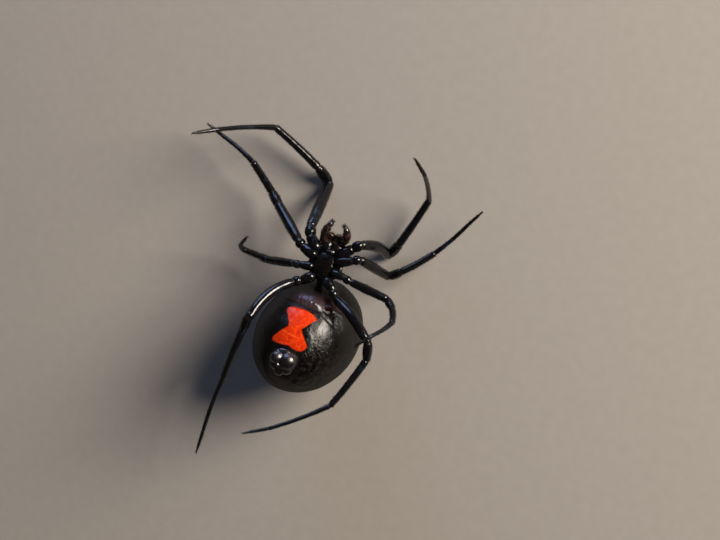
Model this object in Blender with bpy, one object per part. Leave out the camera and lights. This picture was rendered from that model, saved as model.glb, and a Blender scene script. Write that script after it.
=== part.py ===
"""Black widow spider at life size, belly up on the back of its round abdomen and its two front knees.

The legs keep the pose of a spider hanging in its web. All sizes are in millimetres and are
turned to metres where the meshes are made. The head points to -Y and the belly to +Z, so
the animal's own left side is at -X. The origin is the bottom centre of the whole model.
"""

import math

import bmesh
import bpy
from mathutils import Matrix, Vector

MM = 0.001
GAP = 0.3

# Body: the middle of the abdomen, and the middle of the breastplate (sternum) ahead of it
ABDOMEN_MIDDLE = Vector((0.0, 5.0, 4.02))
STERNUM_MIDDLE = Vector((-0.2, -0.82, 5.58))

# Abdomen: half sizes along its long axis, across it and square to both
ABDOMEN_HALF_LONG = 4.84
ABDOMEN_HALF_WIDE = 3.90
ABDOMEN_HALF_DEEP = 3.88
ABDOMEN_TURN = 18.0
ABDOMEN_DIP = 40.0
BELLY_TURN = 7.0
ABDOMEN_SEGMENTS = 44
ABDOMEN_RINGS = 28

# Cephalothorax: how its fore end drops and how it leans to the animal's right
BODY_DIP = 16.0
BODY_LEAN = 5.0
# Along the shield from the waist to the face: place, half width, depth below and above its rim
SHIELD_PROFILE = (
    (-1.05, 0.42, 0.35, 0.18),
    (-0.90, 0.78, 0.55, 0.22),
    (-0.50, 1.22, 0.78, 0.26),
    (0.10, 1.42, 0.86, 0.28),
    (0.70, 1.30, 0.90, 0.28),
    (1.25, 0.98, 1.00, 0.26),
    (1.75, 0.80, 1.02, 0.22),
    (2.00, 0.62, 0.80, 0.16),
)
SHIELD_RIM_DROP = 0.55
SHIELD_SIDES = 28
SHIELD_SQUARENESS = 0.85
STERNUM_HALF = (0.68, 1.0, 0.36)
LABIUM_SPOT = (0.06, 1.24, -0.34)
LABIUM_HALF = (0.36, 0.24, 0.26)
# The two plates beside the lip; with the jaws they are swung a little to the animal's left
LIP_PLATE_SPOT = (0.44, 1.36, -0.42)
LIP_PLATE_HALF = (0.44, 0.39, 0.36)
LIP_PLATE_VEER = 0.10

# Eyes, in two rows of four: sideways, ahead, up; and the half size of each pair
EYE_PAIRS = (
    ((0.17, 1.86, -1.12), 0.15),
    ((0.50, 1.72, -1.08), 0.13),
    ((0.19, 1.56, -1.52), 0.14),
    ((0.56, 1.42, -1.34), 0.13),
)

# Jaws and feelers (palps)
JAW_BASE = (0.31, 2.20, -0.86)
JAW_VEER = 0.18
JAW_LENGTH = 0.95
JAW_RISE = 76.0
# Share of the jaw's length and the radius there
JAW_PROFILE = ((0.0, 0.27), (0.45, 0.33), (1.0, 0.23))
PALP_RADII = (0.24, 0.27, 0.29, 0.27, 0.16)
# The feelers' joints in the body: sideways, ahead and up
PALP_JOINTS = {
    "l": (
        (0.93, 2.08, -0.15), (1.22, 2.43, 0.20), (1.29, 2.79, 0.62), (1.20, 3.09, 0.86), (0.94, 3.31, 0.90),
    ),
    "r": (
        (-0.66, 1.94, -0.15), (-0.56, 2.23, 0.20), (-0.42, 2.58, 0.62),
        (-0.20, 2.98, 0.86), (0.04, 3.43, 0.90),
    ),
}

# Legs, by pair: the hip's base in the body, its turn from the head and its length
HIPS = {
    1: ((0.98, 1.18, -0.30), 47, 1.10),
    2: ((1.00, 0.62, -0.25), 70, 1.15),
    3: ((0.95, -0.25, -0.25), 97, 0.85),
    4: ((0.60, -0.95, -0.20), 128, 0.90),
}
# Radius of a hip at its ends and at its middle
HIP_RADIUS = 0.33
HIP_SWELL = 0.37
# Lengths of trochanter, femur, patella, tibia, metatarsus and tarsus
LEG_LENGTHS = {
    1: (0.8, 5.1, 1.7, 4.55, 5.5, 1.95),
    2: (0.6, 3.9, 1.35, 2.95, 3.6, 1.5),
    3: (0.6, 3.1, 1.15, 1.75, 2.5, 1.35),
    4: (0.6, 4.7, 1.6, 4.35, 4.9, 1.95),
}
# The same lengths' directions: turn from the head towards the leg's own side, and rise
LEG_POSE = {
    "l1": ((50, 1), (134, -72.5), (32, 36), (22, 12), (6, 63), (-30, 49)),
    "r1": ((23, -28), (10, -53), (40, 36), (60, 12), (105, 55), (114, 40)),
    "l2": ((64, -10), (126, -57), (52, 26), (45, -15), (35, 9), (34, 6)),
    "r2": ((52, 0), (57, -31), (53, -27), (39, 27), (70, -15), (57, 36)),
    "l3": ((108, -6), (101, -11), (116, 46), (141, 55), (-140, 57), (-139, 19)),
    "r3": ((100, -12), (104, -31), (93, -34), (66, 53), (-32, 68), (-36, 40)),
    "l4": ((146, 14), (119, 22), (177, -23), (-159, 19), (-126, 16), (-115, 22)),
    "r4": ((108, 18), (148, 41), (163, -28), (168, -13), (170, -10), (175, -3)),
}
# Radii of each length where it starts, where it is thickest and where it ends
LEG_RADII = (
    (0.36, 0.36, 0.37),
    (0.37, 0.43, 0.38),
    (0.38, 0.41, 0.35),
    (0.33, 0.31, 0.27),
    (0.27, 0.25, 0.25),
    (0.25, 0.21, 0.12),
)
TROCHANTER_BALL = 0.41
LEG_STOUTNESS = {1: 1.0, 2: 0.88, 3: 0.78, 4: 0.90}
LEAST_RADIUS = 0.25
# How far each length from the femur on bows away from the body's hub; some femora bow more
LEG_BOWS = (0.0, 0.0, 0.06, 0.10, 0.0)
FEMUR_BOWS = {"l1": 0.30, "l4": 0.40, "r4": 0.40}
BODY_HUB = Vector((0.0, 1.0, 4.5))
# Past the knee's bend the thigh gives way to the shank, and past the ankle the shank to the foot
KNEE_CUT = 0.64
ANKLE_CUT = 0.42
LEG_SIDES = 10

# Waist and spinnerets
WAIST_RADIUS = 0.30
WAIST_SET_BACK = 0.05
SPINNERET_SPOT = (0.24, 6.55)
SPINNERET_COLLAR = (1.14, 1.08, 0.62)
# Sideways, rearwards, length and radius of one of each pair, and how far it leans out
SPINNERET_PAIRS = (
    (0.45, -0.24, 0.66, 0.52, 4),
    (0.50, 0.48, 0.54, 0.36, 16),
    (0.14, 0.16, 0.48, 0.18, 4),
)
# Share of a spinneret's length and of its radius there
SPINNERET_PROFILE = ((0.0, 1.0), (0.6, 0.92), (1.0, 0.60))
# Rearwards, length and radius of the cone behind them
ANAL_CONE = (0.84, 0.44, 0.24)

# Along a jaw's fang: ahead, outwards and radius
FANG = (
    (0.00, 0.08, 0.13),
    (0.18, 0.06, 0.11),
    (0.26, -0.08, 0.08),
    (0.20, -0.24, 0.04),
)

# Tubes: where along a length it is thickest, how wide and finely its corners turn, how its tip closes
SWELL_AT = 0.35
CORNER_SHARE = 1.2
CORNER_LEAST = 0.04
CORNER_STEP = 17
TRIM_SHARE = 0.46
TIP_STEPS = 3
TIP_OPEN = 0.4
NEAREST = 0.06
LEG_STEP = 0.9
PALP_STEP = 0.4

UP = Vector((0.0, 0.0, 1.0))
HEADWARD = Vector((0.0, -1.0, 0.0))
LEFTWARD = Vector((-1.0, 0.0, 0.0))
SIDES = {"l": 1, "r": -1}


def direction(turn, rise, side=1):
    """A unit vector turned from the head towards one side (left is 1) and lifted from the level."""
    turned = math.radians(turn)
    lifted = math.radians(rise)
    level = HEADWARD * math.cos(turned) + LEFTWARD * (side * math.sin(turned))
    return level * math.cos(lifted) + UP * math.sin(lifted)


def body_axes():
    """Leftward, forward and upward (belly side) axes of the dipped and leaning fore body."""
    forward = direction(0, -BODY_DIP)
    upright = LEFTWARD.cross(forward).normalized()
    if upright.z < 0:
        upright.negate()
    lean = math.radians(BODY_LEAN)
    leftward = LEFTWARD * math.cos(lean) + upright * math.sin(lean)
    upward = upright * math.cos(lean) - LEFTWARD * math.sin(lean)
    return leftward, forward, upward


BODY_LEFT, BODY_FORWARD, BODY_UP = body_axes()


def in_body(sideways, ahead, height):
    """A point of the fore body, from the middle of the sternum."""
    return STERNUM_MIDDLE + BODY_LEFT * sideways + BODY_FORWARD * ahead + BODY_UP * height


def abdomen_matrix(grow=0.0):
    """Turns a unit sphere into the abdomen, larger by grow all round."""
    long_axis = direction(ABDOMEN_TURN, -ABDOMEN_DIP)
    wide_axis = direction(ABDOMEN_TURN + 90, 0)
    deep_axis = long_axis.cross(wide_axis)
    matrix = Matrix.Identity(4)
    for column, (axis, half) in enumerate(
        ((long_axis, ABDOMEN_HALF_LONG), (wide_axis, ABDOMEN_HALF_WIDE), (deep_axis, ABDOMEN_HALF_DEEP))
    ):
        for row in range(3):
            matrix[row][column] = axis[row] * (half + grow)
    return Matrix.Translation(ABDOMEN_MIDDLE) @ matrix


def abdomen_hit(start, heading):
    """Where a line from start along heading first meets the abdomen."""
    inverse = abdomen_matrix().inverted()
    origin = inverse @ start
    step = inverse.to_3x3() @ heading
    a = step.dot(step)
    b = 2 * origin.dot(step)
    c = origin.dot(origin) - 1
    return start + heading * ((-b - math.sqrt(b * b - 4 * a * c)) / (2 * a))


def mesh_object(name, mesh_builder):
    """A mesh object in metres from a bmesh whose vertices are in millimetres."""
    bmesh.ops.scale(mesh_builder, vec=Vector((MM, MM, MM)), verts=mesh_builder.verts)
    bmesh.ops.recalc_face_normals(mesh_builder, faces=mesh_builder.faces)
    mesh = bpy.data.meshes.new(name)
    mesh_builder.to_mesh(mesh)
    mesh_builder.free()
    made = bpy.data.objects.new(name, mesh)
    bpy.context.scene.collection.objects.link(made)
    return made


def ball(centre, axes, segments=16, rings=10):
    """A closed ellipsoid whose three axes are vectors with their half lengths."""
    builder = bmesh.new()
    bmesh.ops.create_uvsphere(builder, u_segments=segments, v_segments=rings, radius=1.0)
    matrix = Matrix.Identity(4)
    for column, axis in enumerate(axes):
        for row in range(3):
            matrix[row][column] = axis[row]
    bmesh.ops.transform(builder, matrix=Matrix.Translation(centre) @ matrix, verts=builder.verts)
    return builder


def body_ball(centre, halves, segments=16, rings=10):
    """A ball lined up with the fore body: its half sizes go sideways, ahead and up."""
    axes = (BODY_LEFT * halves[0], BODY_FORWARD * halves[1], BODY_UP * halves[2])
    return ball(in_body(*centre), axes, segments, rings)


def bridge(builder, rings):
    """Closes a row of equal rings of vertices into one skin with flat ends."""
    count = len(rings[0])
    for lower, upper in zip(rings, rings[1:]):
        for i in range(count):
            j = (i + 1) % count
            builder.faces.new((lower[i], lower[j], upper[j], upper[i]))
    builder.faces.new(rings[0][::-1])
    builder.faces.new(rings[-1])


def tube(stations, sides=LEG_SIDES):
    """A closed tube through stations of (centre, radius), kept above the floor, with no twist."""
    centres = [Vector(station[0]) for station in stations]
    tangents = []
    for i in range(len(centres)):
        before = centres[max(i - 1, 0)]
        after = centres[min(i + 1, len(centres) - 1)]
        tangents.append((after - before).normalized())
    across = tangents[0].orthogonal().normalized()
    builder = bmesh.new()
    rings = []
    for centre, tangent, (_, radius) in zip(centres, tangents, stations):
        across = (across - tangent * across.dot(tangent)).normalized()
        beside = tangent.cross(across)
        ring = []
        for i in range(sides):
            angle = 2 * math.pi * i / sides
            place = centre + (across * math.cos(angle) + beside * math.sin(angle)) * radius
            place.z = max(place.z, 0.0)
            ring.append(builder.verts.new(place))
        rings.append(ring)
    bridge(builder, rings)
    bmesh.ops.triangulate(builder, faces=builder.faces)
    return builder


def rounded_tip(stations, steps=TIP_STEPS):
    """Adds shrinking stations past the last one, so that the tube ends in a dome."""
    centre, radius = stations[-1]
    heading = (centre - stations[-2][0]).normalized()
    tip = []
    for i in range(1, steps + 1):
        angle = 0.5 * math.pi * i / (steps + TIP_OPEN)
        tip.append((centre + heading * radius * math.sin(angle), radius * math.cos(angle)))
    return stations + tip


def swelling(radii, share):
    """The radius at a share of a length that starts, swells and ends with the given radii."""
    start, middle, end = radii
    if share < SWELL_AT:
        blend = 0.5 - 0.5 * math.cos(math.pi * share / SWELL_AT)
        return start + (middle - start) * blend
    blend = 0.5 - 0.5 * math.cos(math.pi * (share - SWELL_AT) / (1 - SWELL_AT))
    return middle + (end - middle) * blend


def rounded_path(joints, radii, bows, step):
    """Stations along straight or bowed lengths between joints, with an arc at each joint.

    It returns the stations as (distance, centre, radius) and the distance of each joint.
    """
    lengths = [(b - a).length for a, b in zip(joints, joints[1:])]
    headings = [(b - a).normalized() for a, b in zip(joints, joints[1:])]
    trims = [0.0]
    for i in range(1, len(joints) - 1):
        bend = headings[i - 1].angle(headings[i])
        reach = CORNER_SHARE * radii[i][0] * math.tan(bend / 2) + CORNER_LEAST
        trims.append(min(reach, TRIM_SHARE * lengths[i - 1], TRIM_SHARE * lengths[i]))
    trims.append(0.0)
    stations = []
    corners = []
    for i, (length, heading) in enumerate(zip(lengths, headings)):
        outward = (joints[i] + joints[i + 1]) / 2 - BODY_HUB
        outward = (outward - heading * outward.dot(heading)).normalized()
        first = trims[i]
        last = length - trims[i + 1]
        count = max(2, math.ceil((last - first) / step) + 1)
        for n in range(count):
            along = first + (last - first) * n / (count - 1)
            sway = bows[i] * 4 * (along - first) * (last - along) / (last - first) ** 2
            place = joints[i] + heading * along + outward * sway
            stations.append((place, swelling(radii[i], along / length)))
        if i + 1 < len(lengths):
            start = joints[i + 1] - heading * trims[i + 1]
            end = joints[i + 1] + headings[i + 1] * trims[i + 1]
            bend = math.degrees(heading.angle(headings[i + 1]))
            pieces = max(2, math.ceil(bend / CORNER_STEP))
            for n in range(1, pieces):
                t = n / pieces
                place = start * (1 - t) ** 2 + joints[i + 1] * 2 * t * (1 - t) + end * t**2
                stations.append((place, radii[i][2] * (1 - t) + radii[i + 1][0] * t))
                if n == pieces // 2:
                    corners.append(len(stations) - 1)
    spaced = [(0.0, *stations[0])]
    for (before, _), (place, radius) in zip(stations, stations[1:]):
        spaced.append((spaced[-1][0] + (place - before).length, place, radius))
    distances = [0.0] + [spaced[i][0] for i in corners] + [spaced[-1][0]]
    return spaced, distances


def stretch(path, start, end):
    """The stations of a path between two distances, with new ones exactly at both."""

    def at(distance):
        for (d0, p0, r0), (d1, p1, r1) in zip(path, path[1:]):
            if d0 <= distance <= d1 and d1 > d0:
                share = (distance - d0) / (d1 - d0)
                return (p0.lerp(p1, share), r0 + (r1 - r0) * share)
        return (path[-1][1], path[-1][2])

    inner = [(p, r) for d, p, r in path if start + NEAREST < d < end - NEAREST]
    return [at(start)] + inner + [at(end)]


def keep_largest(mesh):
    """Leaves only the closed surface with the most faces."""
    builder = bmesh.new()
    builder.from_mesh(mesh)
    left = set(builder.faces)
    best = set()
    while left:
        group = set()
        front = [left.pop()]
        while front:
            face = front.pop()
            group.add(face)
            for edge in face.edges:
                for other in edge.link_faces:
                    if other in left:
                        left.discard(other)
                        front.append(other)
        if len(group) > len(best):
            best = group
    extra = [face for face in builder.faces if face not in best]
    bmesh.ops.delete(builder, geom=extra, context="FACES")
    bmesh.ops.triangulate(builder, faces=builder.faces)
    builder.to_mesh(mesh)
    builder.free()


def fuse(name, builders, cut=None):
    """One closed body from overlapping pieces, less an optional cutter."""
    pieces = [mesh_object(f"{name}_piece", builder) for builder in builders]
    body = pieces[0]
    if len(pieces) > 1:
        others = bpy.data.collections.new(f"{name}_pieces")
        bpy.context.scene.collection.children.link(others)
        for piece in pieces[1:]:
            bpy.context.scene.collection.objects.unlink(piece)
            others.objects.link(piece)
        join = body.modifiers.new("join", "BOOLEAN")
        join.operation = "UNION"
        join.operand_type = "COLLECTION"
        join.collection = others
        join.solver = "EXACT"
    cutter = None
    if cut is not None:
        cutter = mesh_object(f"{name}_cutter", cut)
        trim = body.modifiers.new("trim", "BOOLEAN")
        trim.operation = "DIFFERENCE"
        trim.object = cutter
        trim.solver = "EXACT"
    bpy.context.view_layer.update()
    graph = bpy.context.evaluated_depsgraph_get()
    mesh = bpy.data.meshes.new_from_object(body.evaluated_get(graph))
    mesh.name = name
    for piece in pieces:
        bpy.data.objects.remove(piece)
    if len(pieces) > 1:
        bpy.data.collections.remove(others)
    if cutter is not None:
        bpy.data.objects.remove(cutter)
    keep_largest(mesh)
    made = bpy.data.objects.new(name, mesh)
    bpy.context.scene.collection.objects.link(made)
    return made


def finish(obj, colour, roughness):
    """Names the object's material and shades its round surface smooth."""
    material = bpy.data.materials.new(obj.name)
    material.use_nodes = True
    shader = material.node_tree.nodes["Principled BSDF"]
    shader.inputs["Base Color"].default_value = (*colour, 1.0)
    shader.inputs["Roughness"].default_value = roughness
    shader.inputs["Metallic"].default_value = 0.0
    obj.data.materials.clear()
    obj.data.materials.append(material)
    obj.data.shade_smooth()
    obj.data.set_sharp_from_angle(angle=math.radians(40))
    return obj


BLACK = (0.008, 0.007, 0.009)
DEEP_BLACK = (0.005, 0.005, 0.006)
MAROON = (0.030, 0.008, 0.010)


def leg_joints(side_name, pair):
    """Joint places of one leg from the hip's base to the claw."""
    side = SIDES[side_name]
    base, turn, length = HIPS[pair]
    start = in_body(side * base[0], base[1], base[2])
    turned = math.radians(turn)
    joints = [start]
    joints.append(start + (BODY_LEFT * (side * math.sin(turned)) + BODY_FORWARD * math.cos(turned)) * length)
    for reach, (swing, rise) in zip(LEG_LENGTHS[pair], LEG_POSE[f"{side_name}{pair}"]):
        joints.append(joints[-1] + direction(swing, rise, side) * reach)
    return joints


def leg_path(side_name, pair):
    """Stations from a leg's femur to its claw, and the distances of its joints."""
    stout = LEG_STOUTNESS[pair]
    radii = []
    for row in LEG_RADII[1:-1]:
        radii.append(tuple(max(value * stout, LEAST_RADIUS) for value in row))
    start, middle, end = LEG_RADII[-1]
    radii.append((max(start * stout, LEAST_RADIUS), middle, end))
    bows = (FEMUR_BOWS.get(f"{side_name}{pair}", LEG_BOWS[0]), *LEG_BOWS[1:])
    return rounded_path(leg_joints(side_name, pair)[2:], radii, bows, LEG_STEP)


def build_leg(side_name, pair):
    """Thigh (trochanter and femur), shank (patella and tibia) and foot of one leg."""
    name = f"leg_{side_name}{pair}"
    path, at = leg_path(side_name, pair)
    knee = at[1] + KNEE_CUT
    ankle = at[3] + ANKLE_CUT
    hip_end, turn = leg_joints(side_name, pair)[1:3]
    heading = (turn - hip_end).normalized()
    stout = LEG_STOUTNESS[pair]
    trochanter = tube([(hip_end + heading * GAP, LEG_RADII[0][0] * stout), (turn, LEG_RADII[0][2] * stout)])
    bead = ball(turn, [axis * TROCHANTER_BALL * stout for axis in (LEFTWARD, HEADWARD, UP)], 14, 10)
    thigh = fuse(f"{name}_thigh", [tube(stretch(path, 0.0, knee)), bead, trochanter])
    shank = mesh_object(f"{name}_shank", tube(stretch(path, knee + GAP, ankle)))
    foot = mesh_object(f"{name}_foot", tube(rounded_tip(stretch(path, ankle + GAP, at[-1]))))
    for piece in (thigh, shank, foot):
        finish(piece, BLACK, 0.22)


def build_cephalothorax():
    """Shield, sternum, lip plates, the eight hips and the eight eyes as one body."""
    shield = bmesh.new()
    rings = []
    for ahead, half_width, below, above in SHIELD_PROFILE:
        ring = []
        for i in range(SHIELD_SIDES):
            angle = 2 * math.pi * i / SHIELD_SIDES
            sideways = math.copysign(abs(math.cos(angle)) ** SHIELD_SQUARENESS, math.cos(angle)) * half_width
            height = math.sin(angle) * (above if math.sin(angle) > 0 else below)
            ring.append(shield.verts.new(in_body(sideways, ahead, height - SHIELD_RIM_DROP)))
        rings.append(ring)
    bridge(shield, rings)
    bmesh.ops.triangulate(shield, faces=shield.faces)
    pieces = [shield]
    pieces.append(body_ball((0, 0, -STERNUM_HALF[2]), STERNUM_HALF, 20, 10))
    pieces.append(body_ball(LABIUM_SPOT, LABIUM_HALF, 12, 8))
    for side_name, side in SIDES.items():
        sideways, ahead, height = LIP_PLATE_SPOT
        pieces.append(body_ball((side * sideways + LIP_PLATE_VEER, ahead, height), LIP_PLATE_HALF, 12, 8))
        for (sideways, ahead, height), half in EYE_PAIRS:
            pieces.append(body_ball((side * sideways, ahead, height), (half, half, half), 8, 6))
        for pair in HIPS:
            base, end = leg_joints(side_name, pair)[:2]
            stations = [(base, HIP_RADIUS), ((base + end) / 2, HIP_SWELL), (end, HIP_RADIUS)]
            pieces.append(tube(stations, sides=12))
    finish(fuse("cephalothorax", pieces), BLACK, 0.20)


def build_jaws():
    """The two jaws side by side, each with its fang folded inwards."""
    rise = math.radians(JAW_RISE)
    heading = BODY_FORWARD * math.cos(rise) + BODY_UP * math.sin(rise)
    pieces = []
    for side in SIDES.values():
        base = in_body(side * JAW_BASE[0] + JAW_VEER, JAW_BASE[1], JAW_BASE[2])
        stations = [(base + heading * JAW_LENGTH * share, radius) for share, radius in JAW_PROFILE]
        pieces.append(tube(rounded_tip(stations), sides=12))
        tip = base + heading * JAW_LENGTH
        fang = []
        for ahead, outward, radius in FANG:
            fang.append((tip + heading * ahead + BODY_LEFT * side * outward, radius))
        pieces.append(tube(fang, sides=8))
    finish(fuse("jaws", pieces), MAROON, 0.25)


def build_palp(side_name):
    """One feeler, curled over the jaws."""
    joints = [in_body(*joint) for joint in PALP_JOINTS[side_name]]
    radii = [(start, (start + end) / 2, end) for start, end in zip(PALP_RADII, PALP_RADII[1:])]
    path, at = rounded_path(joints, radii, [0.0] * len(radii), PALP_STEP)
    stations = stretch(path, 0.0, at[-1])
    finish(mesh_object(f"palp_{side_name}", tube(rounded_tip(stations))), MAROON, 0.25)


def build_abdomen():
    """The round abdomen, with a small flat on its back where it rests."""
    builder = bmesh.new()
    bmesh.ops.create_uvsphere(builder, u_segments=ABDOMEN_SEGMENTS, v_segments=ABDOMEN_RINGS, radius=1.0)
    bmesh.ops.transform(builder, matrix=abdomen_matrix(), verts=builder.verts)
    for vertex in builder.verts:
        vertex.co.z = max(vertex.co.z, 0.0)
    bmesh.ops.triangulate(builder, faces=builder.faces)
    finish(mesh_object("abdomen", builder), DEEP_BLACK, 0.26)


def build_waist():
    """The narrow stalk between the fore body and the abdomen."""
    start = in_body(0.0, SHIELD_PROFILE[0][0], -SHIELD_RIM_DROP - WAIST_SET_BACK)
    toward = ((ABDOMEN_MIDDLE - start).normalized() - HEADWARD * 2).normalized()
    room = (abdomen_hit(start, toward) - start).length
    stations = [(start + toward * GAP, WAIST_RADIUS), (start + toward * (room - GAP), WAIST_RADIUS)]
    finish(mesh_object("waist", tube(stations, sides=12)), MAROON, 0.3)


def spinneret_stations(start, heading, length, radius):
    """Places and radii along one spinneret."""
    return [(start + heading * length * share, radius * width) for share, width in SPINNERET_PROFILE]


def build_spinnerets():
    """A low collar on the abdomen with three pairs of spinnerets and the cone behind them."""
    seat = abdomen_hit(Vector((*SPINNERET_SPOT, 12.0)), -UP)
    to_sphere = abdomen_matrix().inverted()
    normal = (to_sphere.to_3x3().transposed() @ (to_sphere @ seat)).normalized()
    rearward = direction(180 + BELLY_TURN, 0)
    rearward = (rearward - normal * rearward.dot(normal)).normalized()
    sideways = normal.cross(rearward)
    wide, long, high = SPINNERET_COLLAR
    pieces = [ball(seat, (sideways * wide, rearward * long, normal * high), 22, 12)]
    for across, back, length, radius, lean in SPINNERET_PAIRS:
        for side in SIDES.values():
            start = seat + sideways * (side * across) + rearward * back
            outward = (rearward * back * 0.5 + sideways * side * across).normalized()
            tilt = math.radians(lean)
            heading = normal * math.cos(tilt) + outward * math.sin(tilt)
            pieces.append(tube(rounded_tip(spinneret_stations(start, heading, length, radius)), sides=10))
    back, length, radius = ANAL_CONE
    start = seat + rearward * back
    pieces.append(tube(rounded_tip(spinneret_stations(start, normal, length, radius)), sides=10))
    cutter = bmesh.new()
    bmesh.ops.create_uvsphere(cutter, u_segments=48, v_segments=32, radius=1.0)
    bmesh.ops.transform(cutter, matrix=abdomen_matrix(GAP), verts=cutter.verts)
    finish(fuse("spinnerets", pieces, cutter), BLACK, 0.24)


def centre_on_floor():
    """Moves every piece so that the origin is the bottom centre of the whole."""
    low = Vector((math.inf,) * 3)
    high = Vector((-math.inf,) * 3)
    for obj in bpy.context.scene.objects:
        for vertex in obj.data.vertices:
            low = Vector(map(min, low, vertex.co))
            high = Vector(map(max, high, vertex.co))
    shift = Vector((-(low.x + high.x) / 2, -(low.y + high.y) / 2, -low.z))
    for obj in bpy.context.scene.objects:
        obj.data.transform(Matrix.Translation(shift))


def main():
    for obj in list(bpy.data.objects):
        bpy.data.objects.remove(obj)
    build_abdomen()
    build_waist()
    build_spinnerets()
    build_cephalothorax()
    build_jaws()
    for side_name in "lr":
        build_palp(side_name)
        for pair in HIPS:
            build_leg(side_name, pair)
    centre_on_floor()


main()
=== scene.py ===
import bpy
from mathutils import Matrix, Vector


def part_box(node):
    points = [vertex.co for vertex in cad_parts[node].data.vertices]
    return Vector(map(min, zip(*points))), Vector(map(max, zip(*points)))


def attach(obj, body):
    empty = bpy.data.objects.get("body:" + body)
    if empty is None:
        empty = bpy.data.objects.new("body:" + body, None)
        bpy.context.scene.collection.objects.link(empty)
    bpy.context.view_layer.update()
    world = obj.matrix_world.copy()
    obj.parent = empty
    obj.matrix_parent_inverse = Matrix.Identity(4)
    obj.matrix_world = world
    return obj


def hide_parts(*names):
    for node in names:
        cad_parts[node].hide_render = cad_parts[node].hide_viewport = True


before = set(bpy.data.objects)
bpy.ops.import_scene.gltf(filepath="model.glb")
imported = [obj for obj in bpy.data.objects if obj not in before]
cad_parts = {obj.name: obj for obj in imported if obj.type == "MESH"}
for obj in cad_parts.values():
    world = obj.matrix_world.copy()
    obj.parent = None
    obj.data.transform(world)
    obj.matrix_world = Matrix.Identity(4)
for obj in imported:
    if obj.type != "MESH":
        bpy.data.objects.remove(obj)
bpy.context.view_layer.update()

import math

import bmesh
import bpy
import numpy as np
from mathutils import Matrix, Vector

# Shapes are drawn in millimetres, with the middle of the abdomen at (0, 5), and moved to the frame's place at the end.
mm = 0.001
up = Vector((0.0, 0.0, 1.0))
headward = Vector((0.0, -1.0, 0.0))
leftward = Vector((-1.0, 0.0, 0.0))
sides = {"l": 1, "r": -1}
abdomenMiddle = Vector((0.0, 5.0, 4.02))
lowCorner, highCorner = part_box("abdomen")
cadMiddle = (lowCorner + highCorner) / 2 / mm
home = Vector((cadMiddle.x, cadMiddle.y - abdomenMiddle.y, 0.0))
draws = np.random.default_rng(7)
fullTurn = 2 * math.pi


def linear(hexColour):
    channels = [int(hexColour[i : i + 2], 16) / 255 for i in (1, 3, 5)]
    return tuple(c / 12.92 if c < 0.04045 else ((c + 0.055) / 1.055) ** 2.4 for c in channels) + (1.0,)


def addNode(tree, kind, settings=None, links=None, output=0):
    # a setting is a ramp's colour stops, a property of the node's own, or else a socket's value
    node = tree.nodes.new("ShaderNode" + kind)
    for key, value in (settings or {}).items():
        if key == "stops":
            elements = node.color_ramp.elements
            while len(elements) < len(value):
                elements.new(0.5)
            for element, (position, hexColour) in zip(elements, value):
                element.position = position
                element.color = linear(hexColour)
        elif isinstance(key, str) and hasattr(node, key):
            setattr(node, key, value)
        else:
            node.inputs[key].default_value = value
    for key, source in (links or {}).items():
        tree.links.new(source, node.inputs[key])
    return node.outputs[output]


def startMaterial(name, shaderValues):
    material = bpy.data.materials.new(name)
    material.use_nodes = True
    tree = material.node_tree
    shader = tree.nodes["Principled BSDF"]
    for key, value in shaderValues.items():
        shader.inputs[key].default_value = value
    place = addNode(tree, "TexCoord", output="Object")
    return material, tree, shader, place


def perMetre(featureMm):
    return 1.0 / (featureMm * mm)


def mottledMaterial(name, shaderValues, featureMm, detail, stops):
    material, tree, shader, place = startMaterial(name, shaderValues)
    noise = addNode(tree, "TexNoise", {"Scale": perMetre(featureMm), "Detail": detail}, {"Vector": place})
    colour = addNode(tree, "ValToRGB", {"stops": stops}, {0: noise})
    tree.links.new(colour, shader.inputs["Base Color"])
    return material, tree, shader, colour


def turned(first, second, degrees):
    # the first direction turned towards the second, which is at right angles to it
    angle = math.radians(degrees)
    return first * math.cos(angle) + second * math.sin(angle)


def direction(turn, rise, side=1):
    return turned(turned(headward, leftward * side, turn), up, rise)


def squared(vector, axis):
    # the part of a vector at right angles to an axis, one unit long
    return (vector - axis * vector.dot(axis)).normalized()


def unit(rows):
    return rows / (np.linalg.norm(rows, axis=-1, keepdims=True) + 1e-12)


def ringAngles(count):
    return np.linspace(0, fullTurn, count, endpoint=False)


def fade(values, reach, power=2):
    # 1 at nought, and falling to nothing beyond the reach
    return np.exp(-((values / reach) ** power))


def smoothStep(low, high, values):
    t = np.clip((values - low) / (high - low), 0, 1)
    return t * t * (3 - 2 * t)


def hump(values, start, full, wane, end):
    return smoothStep(start, full, values) * (1 - smoothStep(wane, end, values))


def roundedEnd(distance, reach, least=0.02):
    # the share of a tube's radius at a distance from its rounded end
    return np.sqrt(np.maximum(1 - np.clip(1 - distance / reach, 0, 1) ** 2, least))


# The fore body dips at the face and leans to the animal's right.
foreBody = {"sternum": Vector((-0.2, -0.82, 5.58)), "dip": 16.0, "lean": 5.0}
bodyForward = direction(0, -foreBody["dip"])
uprightAxis = leftward.cross(bodyForward).normalized()
bodyLeft = turned(leftward, uprightAxis, foreBody["lean"])
bodyUp = turned(uprightAxis, -leftward, foreBody["lean"])


def inBody(sideways, ahead, height):
    return foreBody["sternum"] + bodyLeft * sideways + bodyForward * ahead + bodyUp * height


def addObject(name, data):
    thing = bpy.data.objects.new(name, data)
    bpy.context.scene.collection.objects.link(thing)
    return thing


def makePiece(name, verts, faces, material, slot, nodes=()):
    mesh = bpy.data.meshes.new(name)
    coords = (np.asarray(verts, float) + np.array(home)) * mm
    mesh.from_pydata(coords.tolist(), [], faces)
    mesh.update()
    mesh.shade_smooth()
    mesh.materials.append(material)
    piece = addObject(name, mesh)
    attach(piece, "root")
    if nodes:
        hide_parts(*nodes)
    print(f"made {name}: {len(mesh.vertices)} vertices")
    return piece


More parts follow.
